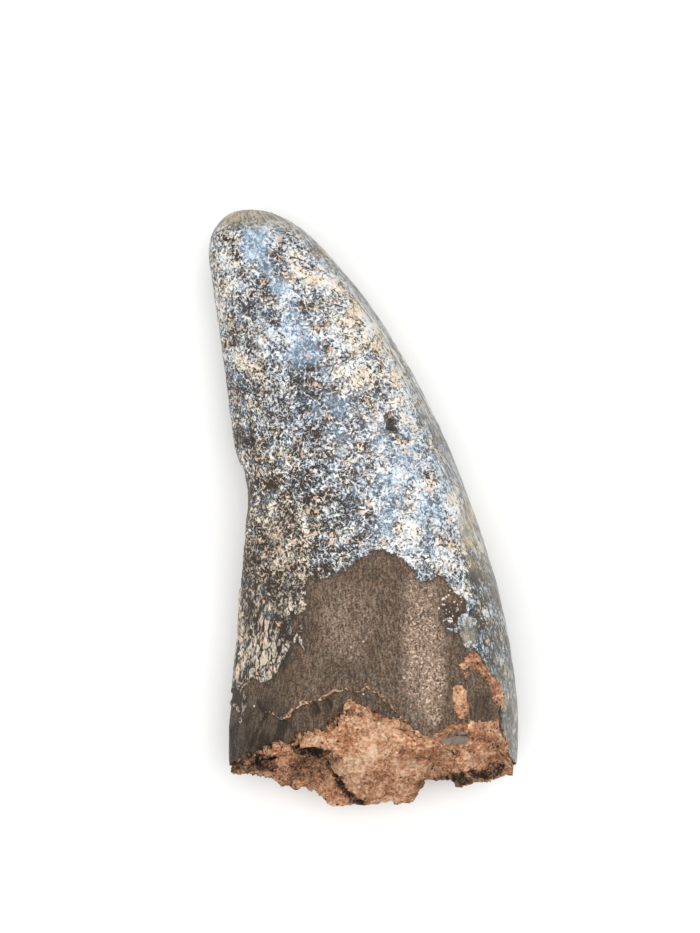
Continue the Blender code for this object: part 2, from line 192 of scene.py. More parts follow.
CREAM_SPOTS = [
    (-5.3, 19.7, 1.0, 1.2, 0.9), (-4.0, 18.1, 1.0, 0.7, 0.9), (-0.9, 15.4, 1.1, 0.8, 0.9),
    (0.9, 13.6, 1.1, 1.0, 0.9), (1.8, 12.1, 1.0, 1.0, 0.7), (2.8, 10.2, 0.8, 1.0, 0.7),
    (5.4, 1.7, 1.4, 0.8, 0.9), (3.6, -2.2, 1.3, 1.8, 0.8), (6.6, -2.6, 1.1, 1.4, 0.8),
    (6.7, -4.8, 1.1, 1.1, 0.9), (-1.4, -4.2, 1.0, 0.5, 0.8), (5.5, 5.0, 0.8, 1.0, 0.5),
    (-9.0, 11.4, 1.0, 0.6, 0.6), (-9.8, 18.2, 1.3, 1.1, 0.3), (7.2, -7.3, 1.1, 1.1, 0.9),
    (-2.6, 17.0, 0.9, 0.9, 0.5), (3.2, 8.6, 0.7, 0.9, 0.6), (0.0, 11.0, 0.8, 0.8, 0.35),
]
BROWN_SPOTS = [
    (-6.0, 22.1, 0.6, 0.5, 0.5), (-4.1, 21.0, 0.6, 0.6, 0.6), (-3.7, 19.2, 0.5, 1.0, 0.8),
    (0.2, 5.4, 1.8, 0.8, 0.5), (-4.4, 4.6, 1.4, 1.6, 0.4), (-10.5, 13.8, 0.6, 1.1, 0.7),
    (-9.0, 12.6, 0.6, 0.6, 0.6), (-4.6, 16.2, 1.0, 0.6, 0.5), (-3.0, 14.6, 1.0, 0.6, 0.45),
    (-3.0, 9.4, 1.1, 0.8, 0.4), (-0.8, 5.8, 1.3, 0.6, 0.6), (-9.3, 5.4, 1.0, 1.1, 0.8),
    (-4.6, 2.2, 1.1, 1.1, 0.6), (-7.3, 1.7, 0.6, 0.8, 0.8), (-1.0, 0.1, 1.0, 0.8, 0.8),
    (-2.6, -1.4, 1.1, 0.8, 0.8), (0.7, -1.4, 0.8, 1.1, 0.3), (-8.9, -4.4, 0.8, 0.8, 0.8),
    (-5.0, -4.6, 0.8, 0.6, 0.4), (-7.4, -6.2, 0.6, 0.5, 0.6), (-9.0, -8.2, 0.8, 1.1, 0.6),
    (-6.1, -9.4, 1.1, 1.1, 0.9), (-8.1, -11.0, 0.6, 0.6, 0.4), (-10.2, -14.6, 0.5, 1.4, 0.9),
    (-3.4, 0.6, 1.4, 1.0, 0.5), (-1.4, 3.0, 1.0, 0.8, 0.3), (0.2, 3.4, 0.6, 0.6, 0.4),
    (-10.0, 7.8, 0.5, 0.8, 0.6), (2.2, 7.0, 0.9, 1.2, 0.9),
]
OLIVE_SPOTS = [
    (8.4, -1.4, 0.9, 2.7, 1.0), (9.0, -4.2, 1.0, 1.6, 0.6), (-10.2, 23.4, 2.1, 0.6, 0.5),
    (7.4, 1.0, 0.6, 1.1, 0.5), (8.45, -9.8, 0.8, 1.4, 1.0),
]
SLATE_SPOTS = [
    (5.0, 8.0, 0.6, 1.0, 0.6), (6.0, 5.8, 0.6, 1.1, 0.6), (6.9, 2.7, 0.6, 1.0, 0.7),
    (9.0, -5.5, 0.6, 0.8, 1.0), (9.0, -7.9, 0.7, 1.0, 0.8), (10.4, -7.4, 1.0, 2.4, 0.6),
    (11.0, -11.8, 1.0, 3.2, 0.8), (8.4, -4.3, 0.5, 0.6, 0.5), (7.1, 3.7, 0.4, 0.6, 0.5),
    (11.4, -17.6, 0.8, 3.0, 0.55),
]
# Pits in the surface.
PITS = [
    (2.2, 7.0, 0.4, 0.6, 1.0), (2.6, 6.4, 0.3, 0.4, 0.8), (-10.5, 13.3, 0.25, 0.5, 0.6),
    (-8.6, 12.8, 0.3, 0.3, 0.5), (-9.0, 5.4, 0.4, 0.5, 0.7), (-7.1, 1.6, 0.3, 0.3, 0.7),
    (-8.6, -4.3, 0.4, 0.3, 0.8), (-4.0, -16.1, 0.3, 0.4, 1.0), (-3.0, -15.75, 0.24, 0.24, 1.0),
    (-1.8, -16.0, 0.2, 0.3, 0.8), (11.3, -16.4, 0.2, 0.3, 1.0), (-8.3, -20.1, 0.4, 0.3, 1.0),
    (8.7, -8.3, 0.3, 0.4, 0.9), (-11.0, 10.6, 0.3, 0.3, 0.6),
]

# Tones of the bare dentine.
DENTINE_DARK_SPOTS = [
    (-6.5, -12.2, 1.2, 1.8, 0.8), (-8.6, -19.0, 2.4, 2.4, 1.0), (-10.4, -17.4, 1.8, 4.4, 1.0),
    (-7.4, -15.0, 1.8, 1.4, 0.5), (7.0, -8.4, 1.2, 1.0, 0.7), (9.6, -16.2, 1.0, 1.6, 0.7),
    (-1.0, -13.0, 2.4, 1.0, 0.3), (-4.6, -9.4, 0.8, 1.0, 0.4), (-7.6, -17.0, 2.4, 2.4, 0.75),
]
SPECKLED = [(7.2, -7.5, 1.1, 1.1, 1.0), (-0.5, -3.6, 0.6, 0.5, 0.6), (6.2, -15.2, 0.8, 1.6, 0.2)]
DENTINE_CRACKS = [
    [(-7.9, -16.3), (-7.2, -16.6), (-6.8, -16.9)],
    [(-6.9, -17.0), (-6.2, -17.4), (-5.7, -17.9), (-5.4, -18.4)],
    [(-8.6, -15.4), (-8.2, -16.2), (-7.9, -16.4)],
    [(-1.9, -15.4), (-1.8, -15.9), (-2.0, -16.3)],
]
# Where a sheen is painted on the dentine: a painted highlight of copper colour, with brighter ridges and
# glints. The surface is also glossier there.
DENTINE_PAINTED_SHEEN_SPOTS = [
    (4.8, -11.0, 1.8, 6.0, 0.8), (5.4, -13.6, 1.4, 3.0, 1.0), (4.4, -6.6, 1.2, 1.6, 0.6),
    (-1.4, -9.0, 2.4, 3.4, 0.3), (5.6, -16.6, 0.8, 1.0, 0.7),
]

# How far the streaks of the dark dentine lean from the tooth's length, in radians.
STREAK_LEAN = 0.42

# The crack that runs round the boss of the sandstone, and the tones of its face, partly painted shade.
CRACK = [
    (-5.3, -19.2), (-4.8, -19.8), (-4.0, -20.0), (-3.4, -19.6), (-2.7, -20.0), (-2.1, -21.0),
    (-1.4, -22.1), (-0.8, -22.7), (-0.2, -23.0),
]
STONE_PALE_SPOTS = [
    (0.2, -17.7, 0.9, 1.2, 0.5), (-0.9, -20.5, 1.5, 0.9, 1.0), (0.8, -19.5, 1.1, 0.8, 0.5),
    (-4.6, -19.3, 0.5, 0.35, 1.0), (1.8, -17.5, 0.8, 0.8, 0.7), (3.5, -20.7, 1.2, 0.7, 0.6),
    (5.2, -21.0, 0.5, 0.6, 0.5), (-6.8, -20.7, 0.3, 0.25, 1.0), (-3.6, -18.4, 0.9, 0.6, 0.4),
]
# Partly painted shade, in hollows and under the overhangs near both ends of the lower edge, and partly
# darker brown stone.
STONE_DARK_AND_SHADE_SPOTS = [
    (-8.2, -20.3, 0.9, 0.7, 1.0), (-7.4, -20.2, 0.5, 0.4, 0.8), (-4.6, -21.2, 2.2, 1.6, 0.5),
    (-7.0, -21.0, 1.2, 0.9, 0.45), (-9.2, -20.8, 1.6, 0.5, 0.7), (9.3, -21.5, 1.2, 0.6, 1.0),
    (10.7, -21.2, 0.9, 0.7, 0.9), (7.9, -21.9, 0.9, 0.5, 1.0), (11.0, -20.0, 0.4, 0.7, 0.3),
    (10.3, -19.1, 0.4, 0.3, 0.4), (-2.2, -20.2, 0.7, 0.6, 0.75), (4.8, -22.0, 0.7, 0.6, 0.4),
]
# How far the lower edge of the sandstone stands out past its CAD shape, as (x, distance).
LOWER_EDGE_SHIFTS = [
    (-12.0, -0.3), (-9.4, -0.1), (-8.2, -0.6), (-7.4, -0.6), (-6.4, 0.1), (-5.2, -0.2), (-4.0, -0.4),
    (-3.0, 0.0), (-2.0, 0.6), (0.2, 0.7), (1.2, 0.0), (3.2, -0.1), (4.2, 0.1), (4.8, 0.0),
    (5.6, -0.9), (6.8, -1.1), (7.6, -0.1), (8.4, -0.1), (10.0, -0.2), (11.2, -0.4), (12.0, -0.3),
]

# A spot is full within this share of its half width, and gone at the other.
SPOT_CORE = 0.45
SPOT_RIM = 1.25

# The stage, in metres.
FLOOR_SIZE = 3.0
KEY_PLACE = (0.22, 0.2, 0.8)
KEY_SIZE = 1.1
FILL_PLACE = (-0.45, -0.35, 0.7)
FILL_SIZE = 1.0
CAMERA_CLIP = (0.01, 10.0)

# Places of a Mix node's sockets: colours in and out, and numbers in.
MIX_COLOURS_IN = (6, 7)
MIX_COLOUR_OUT = 2
MIX_NUMBERS_IN = (2, 3)


# Fields over a surface

def ease(value, start, end):
    """A smooth step from 0 at start to 1 at end."""
    share = np.clip((value - start) / (end - start), 0, 1)
    return share * share * (3 - 2 * share)


def fade(value, start, end):
    """A smooth step from 1 at start to 0 at end."""
    return 1 - ease(value, start, end)


def between(value, rise, fall):
    """A smooth step up over the range rise, and down again over the range fall."""
    return ease(value, *rise) * fade(value, *fall)


def as_seen(points):
    """Where the camera sees each point, on the plane of the crown's edges."""
    centre = np.array(CAMERA_CENTRE)
    nearness = CAMERA_DISTANCE / (CAMERA_DISTANCE - (points[:, 2] - EDGE_PLANE))
    return centre + (points[:, :2] - centre) * nearness[:, None]


def ragged(places, points, size, depth, seed):
    """The places, each shifted by up to about depth, so that an outline there is ragged."""
    noise.seed_set(seed)
    moves = np.array([noise.noise_vector(Vector(p) / size)[:2] for p in points])
    return places + depth * moves


def path_distance(places, path):
    """Distance from each place to a path of straight runs."""
    path = np.array(path, float)
    nearest = np.full(len(places), np.inf)
    for start, end in zip(path, path[1:]):
        run = end - start
        share = np.clip((places - start) @ run / (run @ run), 0, 1)
        nearest = np.minimum(nearest, np.linalg.norm(places - start - share[:, None] * run, axis=1))
    return nearest


def inside(places, outline):
    """Which places an outline holds."""
    x, y = places.T
    held = np.zeros(len(places), bool)
    for (x0, y0), (x1, y1) in zip(outline, outline[1:] + outline[:1]):
        crosses = (y0 > y) != (y1 > y)
        rise = (y1 - y0) or 1.0
        held ^= crosses & (x < (x1 - x0) * (y - y0) / rise + x0)
    return held


def depth_inside(places, outline):
    """Distance from each place to an outline, above 0 inside it and below 0 outside."""
    distance = path_distance(places, outline + outline[:1])
    return np.where(inside(places, outline), distance, -distance)


def spots(places, listed):
    """How strongly soft-edged oval spots cover each place, from 0 to 1."""
    cover = np.zeros(len(places))
    for x, y, across, along, strength in listed:
        reach = np.hypot((places[:, 0] - x) / across, (places[:, 1] - y) / along)
        cover = np.maximum(cover, strength * fade(reach, SPOT_CORE, SPOT_RIM))
    return cover


# Pieces

def select_only(piece):
    """Makes a piece the only selected object, and the active one."""
    bpy.ops.object.select_all(action="DESELECT")
    piece.select_set(True)
    bpy.context.view_layer.objects.active = piece


def merged_copy(node, name):
    """A new object with a copy of a CAD node's mesh, its loose triangles merged into quads."""
    piece = bpy.data.objects.new(name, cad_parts[node].data.copy())
    piece.data.name = name
    piece.data.materials.clear()
    bpy.context.scene.collection.objects.link(piece)
    select_only(piece)
    bpy.ops.object.mode_set(mode="EDIT")
    bpy.ops.mesh.select_all(action="SELECT")
    bpy.ops.mesh.remove_doubles(threshold=MERGE_DISTANCE)
    bpy.ops.mesh.tris_convert_to_quads(face_threshold=math.pi, shape_threshold=math.pi)
    bpy.ops.object.mode_set(mode="OBJECT")
    return piece


def finish_with(piece, kind, **settings):
    """Adds a modifier to a piece and applies it."""
    modifier = piece.modifiers.new(kind.title(), kind)
    for name, value in settings.items():
        setattr(modifier, name, value)
    select_only(piece)
    bpy.ops.object.modifier_apply(modifier=modifier.name)


def smooth_and_even(piece, rounding, voxel):
    """Rounds a piece's coarse faces and remakes it with even small ones."""
    finish_with(piece, "SUBSURF", levels=rounding, render_levels=rounding)
    finish_with(piece, "REMESH", mode="VOXEL", voxel_size=voxel * MM, use_smooth_shade=True)


def surface_of(piece):
    """A piece's points in millimetres, and its normals."""
    points = np.zeros(len(piece.data.vertices) * 3)
    normals = np.zeros(len(piece.data.vertices) * 3)
    piece.data.vertices.foreach_get("co", points)
    piece.data.vertex_normals.foreach_get("vector", normals)
    return points.reshape(-1, 3) * PER_METRE, normals.reshape(-1, 3)


def room_in_box(points, node):
    """0 on the CAD node's box, rising to 1 a little way inside it."""
    low, high = (np.array(corner) * PER_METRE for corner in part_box(node))
    gap = np.minimum(points - low, high - points).min(axis=1)
    return ease(gap, 0, ROOM_TO_BOX)


def keep_in_box(piece, node):
    """Squeezes what the relief raised past the CAD node's box back to inside it."""
    points, _ = surface_of(piece)
    low, high = (np.array(corner) * PER_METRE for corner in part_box(node))
    for side, wall in ((1, low), (-1, high)):
        past = np.clip((wall - points) * side + BOX_MARGIN, 0, None)
        squeezed = BOX_MARGIN * (1 - np.exp(-past / BOX_MARGIN))
        points += side * (past - squeezed)
    piece.data.vertices.foreach_set("co", (points * MM).ravel())
    piece.data.update()


def relief(piece, where, height, grain=None, middle=0.0):
    """Raises a piece's surface by height, in millimetres, as far as where says, from 0 to 1.
    A grain, a texture, makes the height vary about the middle of its own range."""
    group = piece.vertex_groups.new(name="relief")
    levels = np.rint(np.clip(where, 0, 1) * WEIGHT_STEPS).astype(int)
    for level in np.unique(levels[levels > 0]):
        group.add(np.nonzero(levels == level)[0].tolist(), level / WEIGHT_STEPS, "REPLACE")
    finish_with(
        piece,
        "DISPLACE",
        texture=grain,
        texture_coords="LOCAL",
        vertex_group=group.name,
        strength=height * MM,
        mid_level=middle,
    )
    piece.vertex_groups.clear()


def roughen(piece, where, name, size, height, middle=0.5):
    """Raises and lowers a piece's surface by soft random lumps."""
    grain = bpy.data.textures.new(name, "CLOUDS")
    grain.noise_scale = size * MM
    grain.noise_depth = LUMP_LAYERS
    relief(piece, where, height, grain, middle)


def paint(piece, name, values):
    """Keeps a value for each point of a piece, which its material reads by name."""
    attribute = piece.data.attributes.new(name, "FLOAT", "POINT")
    attribute.data.foreach_set("value", np.asarray(values, np.float32))


def hand_in(piece, node, material):
    """Gives a piece its material, and puts it in the place of its CAD node."""
    piece.data.materials.append(material)
    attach(piece, "root")
    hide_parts(node)


# Materials

class Pattern:
    """Adds shader nodes to a tree and joins them. A value is a number, a colour or a socket."""

    def __init__(self, tree):
        self.tree = tree

    def node(self, kind, **settings):
        made = self.tree.nodes.new("ShaderNode" + kind)
        for name, value in settings.items():
            setattr(made, name, value)
        return made

    def join(self, value, socket):
        if isinstance(value, bpy.types.NodeSocket):
            self.tree.links.new(value, socket)
        else:
            socket.default_value = value

    def painted(self, name):
        """A value that paint kept on the piece."""
        return self.node("Attribute", attribute_name=name).outputs["Fac"]

    def place(self):
        """Where each point is on its piece, in millimetres."""
        return self.stretched(self.node("TexCoord").outputs["Object"], (PER_METRE,) * 3)

    def stretched(self, place, scale, turn=0.0):
        """The place, scaled along each axis and then turned about z."""
        made = self.node("Mapping")
        self.join(place, made.inputs["Vector"])
        made.inputs["Rotation"].default_value = (0, 0, turn)
        made.inputs["Scale"].default_value = scale
        return made.outputs["Vector"]

    def lumps(self, place, per_mm, detail=2.0, roughness=0.5, swirl=0.0):
        """A soft random pattern about 0.5, with so many lumps to a millimetre."""
        made = self.node("TexNoise")
        self.join(place, made.inputs["Vector"])
        made.inputs["Scale"].default_value = per_mm
        made.inputs["Detail"].default_value = detail
        made.inputs["Roughness"].default_value = roughness
        made.inputs["Distortion"].default_value = swirl
        return made.outputs[0]

    def ridge(self, value, width):
        """1 where the value is half way, falling to 0 at width from there: thin winding lines."""
        off = self.maths("ABSOLUTE", self.maths("SUBTRACT", value, 0.5))
        return self.step(off, 0.0, width, 1.0, 0.0)

    def grains(self, place, per_mm, measure="EUCLIDEAN"):
        """Cells: how far each point is from its cell's middle, and two values for the cell."""
        made = self.node("TexVoronoi", distance=measure)
        self.join(place, made.inputs["Vector"])
        made.inputs["Scale"].default_value = per_mm
        cell = self.node("SeparateColor")
        self.join(made.outputs["Color"], cell.inputs[0])
        return made.outputs["Distance"], cell.outputs[0], cell.outputs[1]

    def warped(self, place, per_mm, reach):
        """The place, pushed about so that a pattern read there winds."""
        made = self.node("TexNoise")
        self.join(place, made.inputs["Vector"])
        made.inputs["Scale"].default_value = per_mm
        made.inputs["Detail"].default_value = 1.0
        push = self.node("VectorMath", operation="MULTIPLY_ADD")
        self.join(made.outputs["Color"], push.inputs[0])
        push.inputs[1].default_value = (reach,) * 3
        self.join(place, push.inputs[2])
        return push.outputs[0]

    def maths(self, operation, a, b=0.0, c=0.0):
        made = self.node("Math", operation=operation)
        for value, socket in zip((a, b, c), made.inputs):
            self.join(value, socket)
        return made.outputs[0]

    def total(self, start, *layers):
        """The sum of a number and of values, each given with its weight."""
        for value, weight in layers:
            start = self.maths("MULTIPLY_ADD", value, weight, start)
        return start

    def step(self, value, start, end, low=0.0, high=1.0):
        """A smooth step from low to high as the value goes from start to end."""
        made = self.node("MapRange", interpolation_type="SMOOTHSTEP")
        for given, name in zip(
            (value, start, end, low, high), ("Value", "From Min", "From Max", "To Min", "To Max")
        ):
            self.join(given, made.inputs[name])
        return made.outputs[0]

    def mix(self, share, a, b):
        """One colour going over into another."""
        made = self.node("Mix", data_type="RGBA")
        self.join(share, made.inputs[0])
        for value, socket in zip((a, b), MIX_COLOURS_IN):
            self.join(value, made.inputs[socket])
        return made.outputs[MIX_COLOUR_OUT]

    def between(self, share, a, b):
        """One number going over into another."""
        made = self.node("Mix", data_type="FLOAT")
        self.join(share, made.inputs[0])
        for value, socket in zip((a, b), MIX_NUMBERS_IN):
            self.join(value, made.inputs[socket])
        return made.outputs[0]

    def bump(self, height):
        """Normals of a fine relief, its height given in millimetres."""
        made = self.node("Bump")
        made.inputs["Strength"].default_value = 1.0
        made.inputs["Distance"].default_value = MM
        self.join(height, made.inputs["Height"])
        return made.outputs["Normal"]

    def group(self, tree, **given):
        """Places a node group and joins its inputs. Its outputs are read by name."""
        made = self.node("Group", node_tree=tree)
        for name, value in given.items():
            self.join(value, made.inputs[name.replace("_", " ").capitalize()])
        return made.outputs


def new_group(name, takes, gives):
    """An empty node group with its sockets, its pattern maker, and its two ends."""
    tree = bpy.data.node_groups.new(name, "ShaderNodeTree")
    for direction, sockets in (("INPUT", takes), ("OUTPUT", gives)):
        for socket, kind in sockets:
            tree.interface.new_socket(socket, in_out=direction, socket_type="NodeSocket" + kind)
    start = tree.nodes.new("NodeGroupInput")
    end = tree.nodes.new("NodeGroupOutput")
    return tree, Pattern(tree), start.outputs, end.inputs


def mottling_group(name, colours):
    """Fossil enamel: a tangle of pale strands over dark ground, lengthwise worms toward the edges,
    with orange specks and soft blue clouds."""
    tree, p, given, out = new_group(
        name,
        [("Place", "Vector"), ("Streak place", "Vector"), ("Pale", "Float"), ("Warm", "Float"),
         ("Brown", "Float"), ("Blue", "Float"), ("Smooth", "Float"), ("Streaked", "Float")],
        [("Color", "Color"), ("Height", "Float"), ("Roughness", "Float")],
    )
    place = given["Place"]
    flecks = p.lumps(place, 4.4, 1.0)
    blotches = p.lumps(p.warped(place, 1.5, 0.5), 0.9, 3.0, 0.65)
    clumps = p.lumps(place, 0.3, 2.0, 0.6)
    strands = p.ridge(p.lumps(p.warped(place, 1.2, 0.7), 1.6, 0.5, 0.5, 0.7), 0.045)
    threads = p.ridge(p.lumps(p.warped(place, 2.0, 0.4), 2.4, 0.0, 0.5, 0.5), 0.06)
    furrows = p.ridge(p.lumps(p.warped(place, 1.6, 0.5), 1.9, 0.5, 0.5, 0.6), 0.045)
    tangle = p.total(-1.11, (strands, 0.85), (threads, 0.7), (furrows, -0.85), (flecks, 2.0))

    lengthwise = p.warped(p.stretched(given["Streak place"], (1.0, 0.42, 1.0)), 1.8, 0.5)
    worm = p.lumps(lengthwise, 1.6, 1.0)
    gaps = p.ridge(worm, 0.06)
    side_gaps = p.ridge(p.lumps(lengthwise, 2.2, 1.0, 0.5, 0.4), 0.055)
    worms = p.total(-0.22, (gaps, -1.05), (side_gaps, -0.9), (flecks, 1.35))

    tone = p.total(
        -1.33,
        (p.between(given["Streaked"], tangle, worms), 1.05),
        (clumps, 1.6),
        (blotches, 1.78),
        (given["Pale"], 0.42),
        (given["Brown"], -0.34),
    )

    tint = p.lumps(place, 0.8, 3.0, 0.65)
    warm = p.total(-1.4, (given["Warm"], 1.0), (tint, 2.8))
    pale = p.mix(p.step(warm, -0.1, 0.45), colours.sky_white, colours.bone_white)
    pale = p.mix(p.step(warm, 0.45, 0.9), pale, colours.cream)
    pale = p.mix(p.step(warm, 0.9, 1.4), pale, colours.tan)
    brown = p.total(-1.3, (given["Brown"], 1.0), (blotches, -1.2), (tint, 3.8))
    dark = p.mix(p.step(brown, -0.3, 0.4), colours.slate, colours.bark_brown)

    cloud = p.lumps(p.warped(place, 1.5, 0.6), 1.0, 3.0, 0.65)
    blue = p.step(p.total(0.0, (given["Blue"], 0.48), (cloud, 1.0), (flecks, -0.3)), 0.4, 0.8)
    haze = p.step(p.lumps(place, 2.2, 2.0, 0.6), 0.35, 0.65)
    mist = p.mix(haze, colours.cloud_blue, colours.sky_white)

    middle = p.mix(p.step(warm, 0.1, 0.9), colours.mid_grey, colours.mid_brown)
    middle = p.mix(p.maths("MULTIPLY", blue, 0.5), middle, colours.cloud_blue)
    pale = p.mix(p.maths("MULTIPLY", blue, 0.7), pale, mist)
    palest = p.mix(p.step(warm, 0.6, 1.3), colours.chalk, colours.cream)
    colour = p.mix(p.step(tone, -0.15, 0.4), dark, middle)
    colour = p.mix(p.step(tone, 0.2, 0.8), colour, pale)
    colour = p.mix(p.step(tone, 0.75, 1.35), colour, palest)

    distance, value, other = p.grains(p.warped(place, 3.0, 0.3), 1.7, "CHEBYCHEV")
    reach = p.total(0.14, (other, 0.14))
    speck = p.maths("LESS_THAN", distance, reach)
    few = p.maths("MAXIMUM", p.total(0.92, (warm, -0.24), (given["Streaked"], 0.24)), 0.84)
    speck = p.maths("MULTIPLY", speck, p.maths("GREATER_THAN", value, few))
    speck_colour = p.mix(p.step(other, 0.4, 1.0), colours.speck_orange, colours.peach)
    colour = p.mix(p.maths("MULTIPLY", speck, 0.8), colour, speck_colour)
    flush = p.lumps(p.warped(place, 3.0, 0.4), 1.5, 2.0)
    blush = p.total(-2.5, (warm, 0.55), (given["Streaked"], -0.25), (flush, 4.0))
    blush = p.maths("MULTIPLY", p.step(blush, 0.3, 0.7, 0.0, 0.7), p.step(tone, 0.3, 0.8))
    colour = p.mix(blush, colour, colours.peach)

    colour = p.mix(p.maths("MULTIPLY", blue, 0.3), colour, mist)
    soft = p.mix(p.step(worm, 0.3, 0.7), colours.rind_grey, colours.rind_cream)
    soft = p.mix(p.step(warm, 0.8, 1.5), soft, colours.rind_yellow)
    colour = p.mix(p.maths("MULTIPLY", given["Smooth"], 0.62), colour, soft)

    p.join(colour, out["Color"])
    p.join(p.step(tone, 0.0, 1.0, 0.0, 0.04), out["Height"])
    p.join(p.step(tone, 0.0, 1.0, 0.42, 0.6), out["Roughness"])
    return tree


def dentine_group(name, colours):
    """Bare dentine: fine lengthwise wrinkles, small pits and pale specks, and a painted sheen with glints
    where Bright says.
    """
    tree, p, given, out = new_group(
        name,
        [("Place", "Vector"), ("Streak place", "Vector"), ("Dark", "Float"), ("Bright", "Float"),
         ("Specks", "Float")],
        [("Color", "Color"), ("Height", "Float"), ("Roughness", "Float")],
    )
    streak_place = given["Streak place"]
    wrinkles = p.lumps(p.stretched(streak_place, (1.0, 0.35, 1.0)), 5.2, 2.0, 0.6, 0.3)
    grooves = p.ridge(p.lumps(p.stretched(streak_place, (1.0, 0.22, 1.0)), 3.0, 2.0, 0.5, 0.3), 0.035)
    crumbs = p.lumps(given["Place"], 6.5, 1.0)
    blotches = p.lumps(p.stretched(given["Place"], (1.0, 0.6, 1.0)), 0.9, 3.0, 0.65)
    level = p.total(-1.55, (wrinkles, 1.8), (crumbs, 1.8), (grooves, -0.3), (blotches, 0.6))

    ground = p.mix(p.step(blotches, 0.35, 0.65), colours.dentine_brown, colours.dentine_grey)
    # Bright paints the sheen: the ground turns copper, as a painted highlight.
    ground = p.mix(given["Bright"], ground, colours.dentine_painted_sheen_colour)
    leaning = p.stretched(given["Place"], (1.0, 1.0, 1.0), STREAK_LEAN)
    slanted = p.stretched(leaning, (1.0, 0.12, 1.0))
    streaks = p.step(p.lumps(slanted, 1.6, 2.0, 0.6), 0.62, 0.42, 0.3, 1.0)
    ground = p.mix(p.maths("MULTIPLY", given["Dark"], streaks), ground, colours.dentine_shaded)
    colour = p.mix(p.step(level, 0.5, 0.05, 0.0, 0.9), ground, colours.dentine_dark)
    light = p.mix(p.total(0.6, (given["Dark"], -0.4)), ground, colours.dentine_light)
    # The ridges are lightened more where Bright paints the sheen.
    strong = p.total(0.5, (given["Bright"], 0.5), (given["Dark"], -0.1))
    colour = p.mix(p.step(level, 0.5, 0.95, 0.0, strong), colour, light)

    distance, value, other = p.grains(given["Place"], 2.2)
    dot = p.step(distance, 0.08, 0.2, 1.0, 0.0)
    wide_dot = p.step(distance, p.total(0.08, (given["Specks"], 0.1)), 0.32, 1.0, 0.0)
    few = p.total(0.965, (given["Specks"], -0.65))
    pale_dot = p.maths("MULTIPLY", wide_dot, p.maths("GREATER_THAN", value, few))
    colour = p.mix(pale_dot, colour, colours.cream)
    distance, value, _ = p.grains(given["Place"], 4.0)
    crumb = p.maths("GREATER_THAN", value, p.total(1.0, (given["Specks"], -0.6)))
    crumb = p.maths("MULTIPLY", p.step(distance, 0.15, 0.45, 1.0, 0.0), crumb)
    colour = p.mix(crumb, colour, colours.cream)
    black_dot = p.maths("MULTIPLY", dot, p.step(other, 0.94, 0.96))
    colour = p.mix(p.maths("MULTIPLY", black_dot, 0.8), colour, colours.hole_black)
    # Painted glints, where Bright paints the sheen.
    glint = p.step(p.lumps(given["Place"], 5.0, 1.0, 0.5, 0.3), 0.56, 0.66)
    colour = p.mix(p.maths("MULTIPLY", glint, given["Bright"]), colour, colours.glint)

    p.join(colour, out["Color"])
    p.join(p.step(level, 0.0, 1.0, 0.0, 0.05), out["Height"])
    p.join(p.between(given["Bright"], 0.55, 0.38), out["Roughness"])
    return tree


def sandstone_group(name, colours):
    """Sandstone: grains of orange, cream, brown and black in a rusty ground."""
    tree, p, given, out = new_group(
        name,
        [("Place", "Vector"), ("Pale", "Float"), ("Dark", "Float")],
        [("Color", "Color"), ("Height", "Float")],
    )
    place = given["Place"]
    winding = p.warped(place, 2.5, 0.3)
    distance, value, other = p.grains(winding, 3.2)
    blotches = p.lumps(winding, 0.6, 3.0, 0.6)
    crumbs = p.lumps(place, 1.7, 3.0, 0.65, 0.8)
    flecks = p.lumps(place, 4.6, 1.0, 0.5, 0.3)
    cracks = p.ridge(p.lumps(winding, 1.5, 3.0, 0.6, 0.4), 0.03)
    tone = p.total(
        -1.8,
        (crumbs, 1.7),
        (flecks, 1.5),
        (blotches, 1.5),
        (cracks, -0.3),
        (given["Pale"], 0.22),
        # Dark carries darker stone, and painted shade in hollows and under overhangs.
        (given["Dark"], -0.9),
    )

    ground = p.mix(p.step(blotches, 0.35, 0.6), colours.rust, colours.sand_orange)
    pale = p.total(-2.1, (given["Pale"], 0.9), (p.lumps(winding, 1.3, 2.0, 0.6), 4.4))
    light = p.mix(p.step(pale, 0.1, 0.8), colours.sand_light, colours.sand_cream)
    colour = p.mix(p.step(tone, -0.45, 0.0), colours.sand_black, colours.sand_brown)
    colour = p.mix(p.step(tone, -0.05, 0.4), colour, ground)
    colour = p.mix(p.step(tone, 0.38, 1.0), colour, light)
    colour = p.mix(p.step(p.total(0.0, (tone, 1.0), (pale, 0.4)), 1.3, 1.9), colour, colours.chalk)
    even = p.mix(p.step(crumbs, 0.4, 0.64), colours.sand_orange, colours.sand_cream)
    colour = p.mix(p.maths("MULTIPLY", given["Pale"], 0.6), colour, even)
    grain = p.maths("MULTIPLY", p.step(value, 0.9, 0.93), p.step(distance, 0.2, 0.4, 0.7, 0.0))
    grain_colour = p.mix(other, colours.sand_cream, colours.chalk)
    colour = p.mix(p.maths("MULTIPLY", grain, p.step(tone, 0.0, 0.5)), colour, grain_colour)
    hole = p.maths("MULTIPLY", p.step(value, 0.09, 0.06), p.step(distance, 0.2, 0.45, 0.9, 0.0))
    colour = p.mix(hole, colour, colours.sand_black)

    p.join(colour, out["Color"])
    height = p.total(0.0, (distance, -0.05), (p.step(tone, -0.3, 1.0), 0.12), (hole, -0.08))
    p.join(height, out["Height"])
    return tree


def new_material(name, base_roughness, shine=0.5):
    """An empty material with a Principled shader, and its pattern maker."""
    material = bpy.data.materials.new(name)
    material.use_nodes = True
    shader = material.node_tree.nodes["Principled BSDF"]
    shader.inputs["Roughness"].default_value = base_roughness
    shader.inputs["Specular IOR Level"].default_value = shine
    return material, Pattern(material.node_tree), shader


